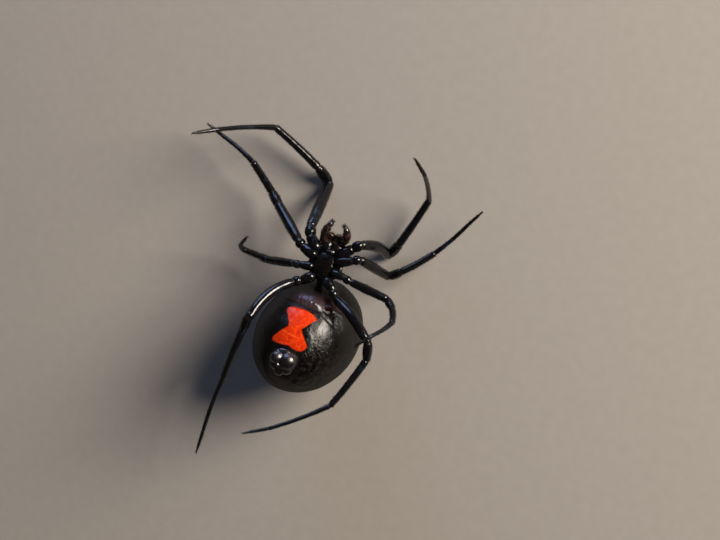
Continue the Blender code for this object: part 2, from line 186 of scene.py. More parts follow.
def addAttribute(piece, name, values):
    layer = piece.data.attributes.new(name, "FLOAT", "POINT")
    layer.data.foreach_set("value", np.asarray(values, np.float32))


def merge(parts):
    verts, faces, count = [], [], 0
    for partVerts, partFaces in parts:
        verts.append(np.asarray(partVerts, float))
        faces.extend(tuple(i + count for i in face) for face in partFaces)
        count += len(partVerts)
    return np.concatenate(verts), faces


def ringFaces(rows, around):
    # quads between the rings, and a fan at each end to the two points that follow them
    pairs = [(i, (i + 1) % around) for i in range(around)]
    first, last = rows * around, rows * around + 1
    faces = []
    for base in range(0, first - around, around):
        faces += [(base + i, base + j, base + around + j, base + around + i) for i, j in pairs]
    for i, j in pairs:
        faces += [(first, j, i), (last, first - around + i, first - around + j)]
    return faces


tubeTips = (0.3, 0.6)  # how far a tube's first and last point stand out, in radii


def sweep(centres, radii, around):
    # a closed tube whose cross direction is carried along with no twist; also gives the rings' axes
    centres = np.asarray(centres, float)
    tangents = unit(np.gradient(centres, axis=0))
    across = np.array(Vector(tangents[0]).orthogonal(), float)
    acrossRows, besideRows = [], []
    for tangent in tangents:
        across = unit(across - tangent * (across @ tangent))
        acrossRows.append(across)
        besideRows.append(np.cross(tangent, across))
    frames = np.array(acrossRows), np.array(besideRows), tangents
    angles = ringAngles(around)[:, None]
    spokes = np.cos(angles) * frames[0][:, None] + np.sin(angles) * frames[1][:, None]
    rings = centres[:, None] + spokes * radii[:, None, None]
    ends = [centres[0] - tangents[0] * radii[0] * tubeTips[0], centres[-1] + tangents[-1] * radii[-1] * tubeTips[1]]
    return np.concatenate([rings.reshape(-1, 3), ends]), ringFaces(len(centres), around), frames


def alongTube(spots, angles, distance, centres, radii, frames):
    # points on a swept tube, with the outward and onward directions there
    centre, across, beside, onward = (
        np.stack([np.interp(spots, distance, rows[:, k]) for k in range(3)], 1) for rows in (centres, *frames)
    )
    spoke = unit(across * np.cos(angles)[:, None] + beside * np.sin(angles)[:, None])
    return centre + spoke * np.interp(spots, distance, radii)[:, None], spoke, onward


def ball(centre, axes, rows, around):
    polar, angles = np.meshgrid(np.linspace(0, math.pi, rows + 2)[1:-1], ringAngles(around), indexing="ij")
    rings = np.stack([np.sin(polar) * np.cos(angles), np.sin(polar) * np.sin(angles), np.cos(polar)], -1)
    verts = np.concatenate([rings.reshape(-1, 3), [[0, 0, 1], [0, 0, -1]]])
    return np.array(centre) + verts @ np.array(axes), ringFaces(rows, around)


def bodyBall(centre, halves, rows=20, around=28):
    return ball(inBody(*centre), (bodyLeft * halves[0], bodyForward * halves[1], bodyUp * halves[2]), rows, around)


def smoothThrough(points, shares):
    # eases between (share, value) points, level at each of them
    xs, ys = np.array(points).T
    index = np.clip(np.searchsorted(xs, shares, side="right") - 1, 0, len(xs) - 2)
    t = smoothStep(xs[index], xs[index + 1], shares)
    return ys[index] * (1 - t) + ys[index + 1] * t


arcs = {"radii": 1.2, "moreMm": 0.04, "most": 0.46}  # a joint's arc: its reach, and the most of a length it takes


def roundedLine(joints, radii, bows, hub, step):
    # straight or bowed lengths with an arc at each joint, as points, with each joint's distance along them
    lengths = [(b - a).length for a, b in zip(joints, joints[1:])]
    headings = [(b - a).normalized() for a, b in zip(joints, joints[1:])]
    trims = [0.0]
    for i in range(1, len(joints) - 1):
        reach = arcs["radii"] * radii[i] * math.tan(headings[i - 1].angle(headings[i]) / 2) + arcs["moreMm"]
        trims.append(min(reach, arcs["most"] * lengths[i - 1], arcs["most"] * lengths[i]))
    trims.append(0.0)
    points, corners = [], [0]
    for i, (length, heading) in enumerate(zip(lengths, headings)):
        outward = squared((joints[i] + joints[i + 1]) / 2 - hub, heading)
        first, last = trims[i], length - trims[i + 1]
        for along in np.linspace(first, last, max(3, math.ceil((last - first) / step) + 1)):
            sway = bows[i] * 4 * (along - first) * (last - along) / (last - first) ** 2
            points.append(joints[i] + heading * along + outward * sway)
        if i + 1 < len(lengths):
            corner, trim = joints[i + 1], trims[i + 1]
            start, end = corner - heading * trim, corner + headings[i + 1] * trim
            pieces = max(4, math.ceil(2 * trim / step))
            for n in range(1, pieces):
                t = n / pieces
                points.append(start * (1 - t) ** 2 + corner * 2 * t * (1 - t) + end * t**2)
                if n == pieces // 2:
                    corners.append(len(points) - 1)
    corners.append(len(points) - 1)
    points = np.array(points)
    distance = np.concatenate([[0], np.cumsum(np.linalg.norm(np.diff(points, axis=0), axis=1))])
    return points, distance, distance[corners]


bristle = {
    "rootMm": 0.03,  # how far it goes in
    "bend": 0.55,  # its outer half's share of the lift
    "taper": 0.7,  # its middle's share of the width
    "patch": 0.0015,  # its size on the map
}


def growBristles(name, coat, width, material, slot, marks=None):
    # one tapered, bent hair for each root, three-sided, as one joined mesh
    roots, normals, lays, lengths, lift, maps = (np.asarray(rows, float) for rows in coat)
    lays = unit(lays - normals * np.sum(lays * normals, axis=1)[:, None])
    half, lift = lengths[:, None] / 2, lift[:, None]
    heading, bent = (normals * np.sin(lift * k) + lays * np.cos(lift * k) for k in (1, bristle["bend"]))
    base = roots - normals * bristle["rootMm"]
    middle = roots + heading * half
    across = unit(np.cross(heading, normals))
    beside = np.cross(heading, across)
    verts = np.zeros((len(roots), 7, 3))
    for k, angle in enumerate(ringAngles(3)):
        spoke = (across * math.cos(angle) + beside * math.sin(angle)) * width
        verts[:, k] = base + spoke
        verts[:, 3 + k] = middle + spoke * bristle["taper"]
    verts[:, 6] = middle + bent * half
    local = [(0, 1, 4, 3), (1, 2, 5, 4), (2, 0, 3, 5), (3, 4, 6), (4, 5, 6), (5, 3, 6)]
    faces = [tuple(first + v for v in face) for first in range(0, 7 * len(roots), 7) for face in local]
    piece = makePiece(name, verts.reshape(-1, 3), faces, material, slot)
    patch = np.array([[1, 0], [-0.5, 0.87], [-0.5, -0.87], [0.7, 0], [-0.35, 0.6], [-0.35, -0.6], [0, 0]])
    unwrap = np.clip(maps[:, None, :] + bristle["patch"] * patch, 0, 1).reshape(-1, 2)
    layer = piece.data.uv_layers.new(name="OFBake")
    corner = np.zeros(len(piece.data.loops), dtype=np.int32)
    piece.data.loops.foreach_get("vertex_index", corner)
    layer.data.foreach_set("uv", unwrap[corner].astype(np.float32).ravel())
    if marks is not None:
        addAttribute(piece, "mark", np.repeat(marks, 7))


def joinedCoat(coats):
    return [np.concatenate([np.asarray(rows[k]) for rows in coats]) for k in range(6)]


# Polished cuticle: hard, waxed chitin. It gives black lacquer with thin sharp highlights, a faint blue, violet and
# green cast that drifts over it, which on the legs is painted sheen standing in for cool reflections, and dull brown
# skin where the attribute "joint" says a joint's membrane shows.
cuticleLook = {
    "noises": ((1.6, 2.0), (0.5, 3.0), (0.16, 3.0), (0.7, 1.0)),  # size in mm and detail of the tint and painted sheen, wear, pits and dents
    "membrane": "#140c09",
    "wear": (0.75, 1.5),  # least and most of the roughness
    "jointRoughness": 0.3,
    "dentShare": 2.5,  # how much higher the dents are than the pits
}


def polishedCuticle(name, stops, roughness, pitReliefMm, level):
    material, tree, shader, place = startMaterial(name, {"IOR": 1.5, "Specular IOR Level": level})
    tintAndSheen, wear, pits, dents = (
        addNode(tree, "TexNoise", {"Scale": perMetre(size), "Detail": detail}, {"Vector": place})
        for size, detail in cuticleLook["noises"]
    )
    joint = addNode(tree, "Attribute", {"attribute_name": "joint"}, output="Fac")
    shell = addNode(tree, "ValToRGB", {"stops": stops}, {0: tintAndSheen})
    membrane = linear(cuticleLook["membrane"])
    colour = addNode(tree, "Mix", {"data_type": "RGBA", 7: membrane}, {0: joint, 6: shell}, 2)
    least, most = (roughness * share for share in cuticleLook["wear"])
    spread = addNode(tree, "MapRange", {1: 0.3, 2: 0.7, 3: least, 4: most}, {0: wear})
    dulled, relief = (
        addNode(tree, "Math", {"operation": "MULTIPLY_ADD", 1: share}, {0: source, 2: base})
        for share, source, base in (
            (cuticleLook["jointRoughness"], joint, spread),
            (cuticleLook["dentShare"], dents, pits),
        )
    )
    bump = addNode(tree, "Bump", {"Distance": pitReliefMm * mm}, {"Height": relief})
    for source, socket in ((colour, "Base Color"), (dulled, "Roughness"), (bump, "Normal")):
        tree.links.new(source, shader.inputs[socket])
    return material


cuticles = {  # colour stops of the tint and painted sheen, roughness, relief in mm and specular level
    "polishedLegCuticle": (
        # the blue stop and the violet and green ones are painted sheen, standing in for cool reflections on the legs
        ((0.33, "#0f1821"), (0.43, "#050607"), (0.52, "#0a080d"), (0.60, "#050506"), (0.70, "#070d0a")),
        0.13, 0.009, 0.36,
    ),
    "pebbledBodyCuticle": (((0.35, "#030303"), (0.55, "#080504"), (0.7, "#040604")), 0.20, 0.008, 0.25),
    "polishedMaroonCuticle": (
        ((0.38, "#0c0608"), (0.5, "#300c13"), (0.56, "#12070a"), (0.7, "#1b0a10")), 0.17, 0.016, 0.8
    ),
    "polishedFangCuticle": (((0.35, "#0c0403"), (0.55, "#220b06"), (0.7, "#120504")), 0.16, 0.004, 1.0),
    "satinMouthCuticle": (((0.38, "#040304"), (0.5, "#0c0607"), (0.6, "#060405")), 0.22, 0.030, 0.7),
    "satinSpinneretCuticle": (((0.35, "#050404"), (0.55, "#0f0a0c"), (0.7, "#080607")), 0.25, 0.012, 1.0),
}
legCuticle, bodyCuticle, maroonCuticle, fangCuticle, mouthCuticle, spinneretCuticle = (
    polishedCuticle(name, *values) for name, values in cuticles.items()
)

# Lens cuticle: clear and polished over dark tissue. It gives black beads with one sharp highlight each.
lensCuticle = mottledMaterial(
    "polishedLensCuticle",
    {"Roughness": 0.05, "IOR": 1.5, "Coat Weight": 1.0, "Coat Roughness": 0.02},
    0.2,
    2.0,
    ((0.4, "#050506"), (0.65, "#1a120c")),
)[0]


# Setae: tapered chitin hairs, grown dark with paler ends. They give the legs their fuzz against the light. Those that
# the attribute "mark" puts on the hourglass take its red.
setaLook = {"Roughness": 0.5, "IOR": 1.45, "Specular IOR Level": 0.2}


def taperedSeta(name, stops):
    material, tree, shader, shade = mottledMaterial(name, setaLook, 0.6, 1.0, stops)
    mark = addNode(tree, "Attribute", {"attribute_name": "mark"}, output="Fac")
    colour = addNode(tree, "Mix", {"data_type": "RGBA", 7: linear("#a82404")}, {0: mark, 6: shade}, 2)
    tree.links.new(colour, shader.inputs["Base Color"])
    return material


darkSeta = taperedSeta("darkSetaChitin", ((0.35, "#050505"), (0.55, "#0d0b0a"), (0.72, "#1c1815")))
paleSeta = taperedSeta("paleSetaChitin", ((0.35, "#3a3428"), (0.55, "#6d6650"), (0.72, "#8f8a72")))
print(f"made {len(bpy.data.materials)} materials")

# The belly's own map: u to the animal's left and v to its head, in mm on the plane that touches the hourglass's
# waist, with the depth below that plane.
belly = {
    "middle": Vector((0.14, 3.68, 7.77)),
    "normal": Vector((0.004, -0.447, 0.894)).normalized(),
    "turn": 7.0,
}
bellyHead = squared(direction(belly["turn"], 0), belly["normal"])
bellyLeft = bellyHead.cross(belly["normal"]).normalized()

abdomen = {
    "halves": (4.84, 3.90, 3.88),  # half its length, width and depth
    "turn": 18.0,
    "dip": 40.0,
    "hourglass": (
        (-1.25, 1.00), (-1.05, 1.22), (-0.65, 1.30), (-0.10, 1.37), (0.40, 1.40), (0.80, 1.36), (1.25, 1.12),
        (1.05, 0.83), (0.90, 0.50), (0.70, 0.12), (0.56, -0.08), (0.75, -0.30), (1.05, -0.56), (1.38, -0.88),
        (1.50, -1.02), (1.46, -1.30), (1.20, -1.57), (0.90, -1.64), (0.57, -1.62), (0.27, -1.54), (0.00, -1.62),
        (-0.33, -1.70), (-0.78, -1.74), (-1.16, -1.68), (-1.22, -1.42), (-1.00, -1.10), (-0.82, -0.78),
        (-0.60, -0.52), (-0.42, -0.27), (-0.54, 0.02), (-0.86, 0.42), (-1.15, 0.75),
    ),
    "furrow": ((-2.6, 1.55), (-1.65, 1.63), (-0.48, 1.57), (0.35, 1.65), (1.18, 1.68), (1.70, 1.56), (2.6, 1.3)),
    "lip": ((-1.30, 1.30), (-0.36, 1.40), (0.45, 1.49), (1.28, 1.50), (1.9, 1.3)),
    "fold": ((1.50, -0.30), (1.62, -0.70), (1.80, -1.15)),
    "crease": ((-0.67, -0.72), (-0.11, -0.78), (0.33, -0.80), (0.73, -0.74)),
    "bellyDeep": (2.2, 3.0),  # where the belly's forms begin to fade and the hourglass ends
    "waves": ((0.022, 2.6, 3), (0.012, 0.62, 4)),  # height, size and seed of its unevenness
    # height, middle and half width, and the rise and fall with the distance ahead of the furrow
    "plate": (0.22, -0.15, 1.15, (0.0, 0.55, 0.8, 1.9)),
    "plateFace": (1.0, -0.25, 1.2, (0.0, 0.12, 0.45, 1.3)),
    "ribs": (0.042, -0.20, 0.65, (0.02, 0.15, 0.4, 0.9)),
    "ribPitch": 0.34,
    # height, half length and half width of what follows a line
    "furrowCut": (-0.10, 2.1, 0.065),
    "lipRise": (0.045, 1.9, 0.09),
    "foldRise": (0.04, 0.10, 0.13),  # height, and half width of the fold and of the painted highlight along it
    # height, place and reach: the knob, the dip round it and the low ridge beside it
    "bumps": ((0.34, (1.47, 2.48), 0.25), (-0.10, (1.47, 2.48), 0.50), (0.03, (2.05, 2.45), (0.6, 0.10))),
    "spinneretRing": (1.12, 1.05),  # half width and length of the swelling under the spinnerets
    "ringForms": ((-0.03, 1.25, 0.16, 2), (0.13, 0.0, 0.95, 4)),  # height, place, reach and power
    "glossSpot": ((-1.75, 2.55), (0.45, 0.5)),
    "redSpots": ((1.0, (1.47, 2.48), 0.30), (0.45, (0.9, 2.95), (0.9, 0.5))),
    "redTail": (0.9, (0.15, -4.05), (0.75, 0.5), -3.2),  # share, place, reach and where it ends headwards
    # the coarse patch on the side the key light falls on: stronger relief, and flecks painted paler as glints
    "grit": ((0.6, 2.0), (-0.8, 1.0)),  # where it begins and is full to the left, and wanes and ends headwards
}

longAxis = direction(abdomen["turn"], -abdomen["dip"])
wideAxis = direction(abdomen["turn"] + 90, 0)
abdomenFrame = np.array([longAxis, wideAxis, longAxis.cross(wideAxis)])
abdomenHalves = np.array(abdomen["halves"])


def onAbdomen(aims):
    # surface points and outward normals for unit directions in the abdomen's own axes
    points = np.array(abdomenMiddle) + (aims * abdomenHalves) @ abdomenFrame
    return points, unit((aims / abdomenHalves) @ abdomenFrame)


def bellyMap(points):
    offset = points - np.array(belly["middle"])
    return offset @ np.array(bellyLeft), offset @ np.array(bellyHead), offset @ np.array(belly["normal"])


def lineDistance(u, v, line):
    best = np.full(len(u), 1e9)
    for (u0, v0), (u1, v1) in zip(line, line[1:]):
        along = np.clip(((u - u0) * (u1 - u0) + (v - v0) * (v1 - v0)) / ((u1 - u0) ** 2 + (v1 - v0) ** 2), 0, 1)
        best = np.minimum(best, np.hypot(u - u0 - along * (u1 - u0), v - v0 - along * (v1 - v0)))
    return best


def outlineDistance(u, v, outline):
    # distance to a closed outline, negative inside it
    inside = np.zeros(len(u), bool)
    closed = (*outline, outline[0])
    for (u0, v0), (u1, v1) in zip(closed, closed[1:]):
        crosses = (v0 > v) != (v1 > v)
        with np.errstate(divide="ignore", invalid="ignore"):
            inside ^= crosses & (u < (u1 - u0) * (v - v0) / (v1 - v0 if v1 != v0 else 1e-9) + u0)
    return lineDistance(u, v, closed) * np.where(inside, -1, 1)


def bell(u, v, centre, reach):
    reach = reach if isinstance(reach, tuple) else (reach, reach)
    return np.exp(-(((u - centre[0]) / reach[0]) ** 2) - ((v - centre[1]) / reach[1]) ** 2)


def waves(points, sizeMm, seed):
    # a smooth random field from a few summed plane waves
    draw = np.random.default_rng(seed)
    total = np.zeros(len(points))
    for _ in range(14):
        heading = unit(draw.normal(size=3))
        pitch = sizeMm * draw.uniform(0.7, 1.5)
        total += np.sin(points @ heading * 2 * math.pi / pitch + draw.uniform(0, 2 * math.pi))
    return total / math.sqrt(14 / 2) / 2


spinneretSpot = (0.30, 6.54)
spinnerets = {
    "collar": (1.04, 1.04, 0.34),
    "lobes": (  # sideways, rearwards, length, radius and lean: one of each pair, and the cone in the middle
        (0.42, -0.20, 0.62, 0.56, 3),
        (0.47, 0.44, 0.34, 0.40, 10),
        (0.14, 0.20, 0.56, 0.20, 4),
        (0.0, 0.84, 0.24, 0.36, 0),
    ),
    "fullness": {1: 1.12, -1: 0.92, 0: 1.0},  # of the spider's left and right ones and the cone
    "taper": (1.24, 0.46),  # a lobe's width at its foot, and how much less at its end
    "crown": 0.68,  # the height of the low, rounded end, in radii
    "sunk": 0.2,  # how far the lobes go in
    "hairs": 90,  # for each mm of radius
    "voxelMm": 0.035,
}


def makeAbdomen():
    builder = bmesh.new()
    bmesh.ops.create_icosphere(builder, subdivisions=7, radius=1.0)
    points, normals = onAbdomen(np.array([v.co for v in builder.verts]))
    faces = [tuple(v.index for v in face.verts) for face in builder.faces]
    builder.free()
    u, v, depth = bellyMap(points)
    fadeFrom, hourglassTo = abdomen["bellyDeep"]
    near = fade(np.maximum(-depth - fadeFrom, 0), 1.0)
    furrow = np.array(abdomen["furrow"])
    ahead = v - np.interp(u, furrow[:, 0], furrow[:, 1])
    lip, fold, crease = (lineDistance(u, v, abdomen[name]) for name in ("lip", "fold", "crease"))

    def form(name):
        rise, middle, halfWidth, steps = abdomen[name]
        return rise * near * fade(u - middle, halfWidth, 4) * hump(ahead, *steps)

    height = sum(rise * waves(points, size, seed) for rise, size, seed in abdomen["waves"]) + form("plate")
    for name, away in (("furrowCut", ahead), ("lipRise", lip)):
        rise, halfLength, halfWidth = abdomen[name]
        height += rise * near * fade(u, halfLength, 4) * fade(away, halfWidth)
    ribs = form("ribs") * fade(u - abdomen["plate"][1], abdomen["plate"][2], 4)
    ribs = ribs * np.clip(0.75 + 0.6 * waves(points, 0.9, 5), 0.15, 1.5)  # some ribs stand higher than others
    height += ribs * np.sin(fullTurn * (u + 0.28 * v + 0.06 * np.sin(v * 4)) / abdomen["ribPitch"])
    rise, foldWidth, paintedHighlightWidth = abdomen["foldRise"]
    height += rise * near * fade(fold, foldWidth)
    for rise, spot, reach in abdomen["bumps"]:
        height += rise * near * bell(u, v, spot, reach)
    spotU, spotV, _ = bellyMap(np.array([spinneretSeat[0]]))
    ring = np.hypot((u - spotU) / abdomen["spinneretRing"][0], (v - spotV) / abdomen["spinneretRing"][1])
    for rise, place, reach, power in abdomen["ringForms"]:
        height += rise * near * fade(ring - place, reach, power)
    points = points + normals * height[:, None]
    points[:, 2] = np.maximum(points[:, 2], 0.0)
    piece = makePiece("abdomenHide", points, faces, hideCuticle, "abdomen", ["abdomen"])
    plateFace = form("plateFace")
    redness = near * sum(share * bell(u, v, spot, reach) for share, spot, reach in abdomen["redSpots"])
    share, spot, reach, end = abdomen["redTail"]
    redness += share * bell(u, v, spot, reach) * (v < end)
    gritFrom, gritTo = abdomen["grit"]
    for label, values in (
        ("mark", np.where(depth > -hourglassTo, outlineDistance(u, v, abdomen["hourglass"]), 9.0)),
        ("gloss", np.clip(plateFace + near * bell(u, v, *abdomen["glossSpot"]), 0, 1)),
        ("redness", redness),
        ("plate", plateFace),
        ("crease", crease),
        # where the pale painted highlight along the fold lies
        ("streak", near * fade(fold, paintedHighlightWidth)),
        # the coarse patch, whose flecks carry painted glints
        ("grit", near * smoothStep(*gritFrom, u) * (1 - smoothStep(*gritTo, v))),
    ):
        addAttribute(piece, label, values)


def spinneretPlace():
    # where a line straight down meets the abdomen, with the outward, rearward and sideways axes there
    above = 12.0
    inverse = np.linalg.inv(abdomenFrame.T * abdomenHalves)
    start = inverse @ (np.array([*spinneretSpot, above]) - np.array(abdomenMiddle))
    step = inverse @ np.array([0.0, 0.0, -1.0])
    a, b, c = step @ step, 2 * start @ step, start @ start - 1
    seat = np.array([*spinneretSpot, above - (-b - math.sqrt(b * b - 4 * a * c)) / (2 * a)])
    normal = Vector(inverse.T @ (inverse @ (seat - np.array(abdomenMiddle)))).normalized()
    rearward = squared(direction(180 + belly["turn"], 0), normal)
    return seat, normal, rearward, normal.cross(rearward)


spinneretSeat = spinneretPlace()

# Soft abdominal hide: thin, satin cuticle set with tiny pebbles and hair sockets. It gives a broad grainy
# highlight on brown-black, and the hourglass is pigment under the same surface.
hideLook = {
    "noises": (  # size in mm and settings of the clouds, mottles and grain
        (2.2, {"Detail": 3.0}),
        (0.27, {"Detail": 3.0, "Roughness": 0.6, "Distortion": 0.7}),
        (0.14, {"Detail": 2.0, "Roughness": 0.7}),
    ),
    "ground": ((0.35, "#040304"), (0.6, "#0a0807")),
    "flecks": ((0.50, "#000000"), (0.72, "#ffffff")),  # where the mottles show as flecks
    "fleckGlint": ((0.0, "#12100e"), (1.0, "#262120")),  # paler where the grit is: partly coarser mottling, partly painted glints where the key light falls
    "pigment": ((0.3, "#9a1804"), (0.5, "#b02a06"), (0.68, "#c63c0c")),
    # the pale greenish painted highlight along the fold: colour and share
    "streak": ("#3c4840", 0.4),
    "redness": "#2c0807",
    "plate": "#32262a",
    "crease": ("#e0602c", 0.55, 0.07),  # the pale crease in the pigment: colour, share and half width in mm
    "edge": (0.05, 0.16),  # half width of the pigment's edge, and how far it wanders, in mm
    "roughness": (0.20, 0.13),  # without and with gloss
    "duller": (0.65, -0.14),  # with the slant, which keeps the rim from mirroring the floor, and with grit
    "relief": (0.42, 1.0),  # strength without and with grit
    "calmer": (-0.4, -0.28),  # with gloss and inside the hourglass
    "reliefMm": 0.05,
}


def makeHide():
    material, tree, shader, place = startMaterial("pebbledHideCuticle", {"IOR": 1.33, "Specular IOR Level": 0.55})
    look = hideLook
    mark, gloss, redness, plate, crease, streak, grit = (
        addNode(tree, "Attribute", {"attribute_name": label}, output="Fac")
        for label in ("mark", "gloss", "redness", "plate", "crease", "streak", "grit")
    )
    clouds, mottles, grain = (
        addNode(tree, "TexNoise", {"Scale": perMetre(size), **settings}, {"Vector": place})
        for size, settings in look["noises"]
    )
    ground, flecks, fleckGlint, pigment = (
        addNode(tree, "ValToRGB", {"stops": look[name]}, {0: source})
        for name, source in (("ground", clouds), ("flecks", mottles), ("fleckGlint", grit), ("pigment", mottles))
    )
    # the pigment's edge wanders with the mottles, and its crease is paler
    halfEdge, wander = look["edge"]
    paleColour, paleShare, paleWidth = look["crease"]
    wobble = addNode(tree, "Math", {"operation": "MULTIPLY_ADD", 1: wander, 2: -wander / 2}, {0: mottles})
    edge = addNode(tree, "Math", {"operation": "ADD"}, {0: mark, 1: wobble})
    # the pale painted highlight along the fold beside the hourglass
    paintedHighlightShare = addNode(tree, "Math", {"operation": "MULTIPLY", 1: look["streak"][1]}, {0: streak})
    inside, pale, satin, strength = (
        addNode(tree, "MapRange", {1: low, 2: high, 3: start, 4: end}, {0: source})
        for source, low, high, start, end in (
            (edge, -halfEdge, halfEdge, 1.0, 0.0),
            (crease, 0.0, paleWidth, paleShare, 0.0),
            (gloss, 0.0, 1.0, *look["roughness"]),
            (grit, 0.0, 1.0, *look["relief"]),
        )
    )
    pigment = addNode(tree, "Mix", {"data_type": "RGBA", 7: linear(paleColour)}, {0: pale, 6: pigment}, 2)
    # flecks, painted paler on the coarse patch as glints where the key light falls
    colour = addNode(tree, "Mix", {"data_type": "RGBA"}, {0: flecks, 6: ground, 7: fleckGlint}, 2)
    for share, tint in ((paintedHighlightShare, look["streak"][0]), (redness, look["redness"]), (plate, look["plate"])):
        colour = addNode(tree, "Mix", {"data_type": "RGBA", 7: linear(tint)}, {0: share, 6: colour}, 2)
    colour = addNode(tree, "Mix", {"data_type": "RGBA"}, {0: inside, 6: colour, 7: pigment}, 2)
    slant = addNode(tree, "LayerWeight", {"Blend": 0.35}, output="Facing")
    for source, share in zip((slant, grit), look["duller"]):
        satin = addNode(tree, "Math", {"operation": "MULTIPLY_ADD", 1: share}, {0: source, 2: satin})
    for source, share in zip((gloss, inside), look["calmer"]):
        strength = addNode(tree, "Math", {"operation": "MULTIPLY_ADD", 1: share}, {0: source, 2: strength})
    pebbles = addNode(tree, "Math", {"operation": "MULTIPLY_ADD", 1: 0.5}, {0: mottles, 2: grain})
    distance = {"Distance": look["reliefMm"] * mm}
    bump = addNode(tree, "Bump", distance, {"Height": pebbles, "Strength": strength})
    for source, socket in ((colour, "Base Color"), (satin, "Roughness"), (bump, "Normal")):
        tree.links.new(source, shader.inputs[socket])
    return material


hideCuticle = makeHide()
makeAbdomen()


def blended(verts, faces, voxelMm):
    # one skin over the joined shapes, with soft valleys where they meet
    mesh = bpy.data.meshes.new("rough")
    mesh.from_pydata(verts.tolist(), [], faces)
    rough = addObject("rough", mesh)
    remesh = rough.modifiers.new("remesh", "REMESH")
    remesh.mode = "VOXEL"
    remesh.voxel_size = voxelMm
    smooth = rough.modifiers.new("smooth", "SMOOTH")
    smooth.iterations = 10
    smooth.factor = 0.5
    skin = rough.evaluated_get(bpy.context.evaluated_depsgraph_get()).to_mesh()
    verts = np.array([list(v.co) for v in skin.vertices])
    faces = [tuple(face.vertices) for face in skin.polygons]
    bpy.data.objects.remove(rough)
    bpy.data.meshes.remove(mesh)
    return verts, faces


def makeSpinnerets():
    seat, normal, rearward, sideways = spinneretSeat
    seat = Vector(seat)
    wide, long, high = spinnerets["collar"]
    parts = [ball(seat - normal * 0.05, (sideways * wide, rearward * long, normal * high), 28, 40)]
    shares = np.concatenate([np.linspace(0, 0.6, 6), np.linspace(0.65, 1, 16)])
    taper = spinnerets["taper"][0] - spinnerets["taper"][1] * shares
    roots, lays = [], []
    for across, back, length, radius, lean in spinnerets["lobes"]:
        reach = length + spinnerets["sunk"]
        dome = radius * roundedEnd(reach * (1 - shares), radius * spinnerets["crown"], 0.01)
        for side in sides.values() if across else (0,):
            start = seat + sideways * (side * across) + rearward * back - normal * spinnerets["sunk"]
            outward = (rearward * back * 0.5 + sideways * side * across).normalized()
            heading = turned(normal, outward, lean)
            radii = dome * spinnerets["fullness"][side] * taper
            parts.append(sweep([start + heading * reach * s for s in shares], radii, 28)[:2])
            for _ in range(int(spinnerets["hairs"] * radius)):
                aim = unit(draws.normal(size=3))
                aim = unit(aim + np.array(heading) * (0.55 - min(aim @ np.array(heading), 0) * 2))
                roots.append(np.array(start + heading * (reach - radius * 0.9)) + aim * radius * 0.95)
                lays.append(aim)
    verts, faces = blended(*merge(parts), spinnerets["voxelMm"])
    makePiece("spinneretCluster", verts, faces, spinneretCuticle, "spinnerets", ["spinnerets"])
    return np.array(roots), np.array(lays)


tuftRoots, tuftLays = makeSpinnerets()

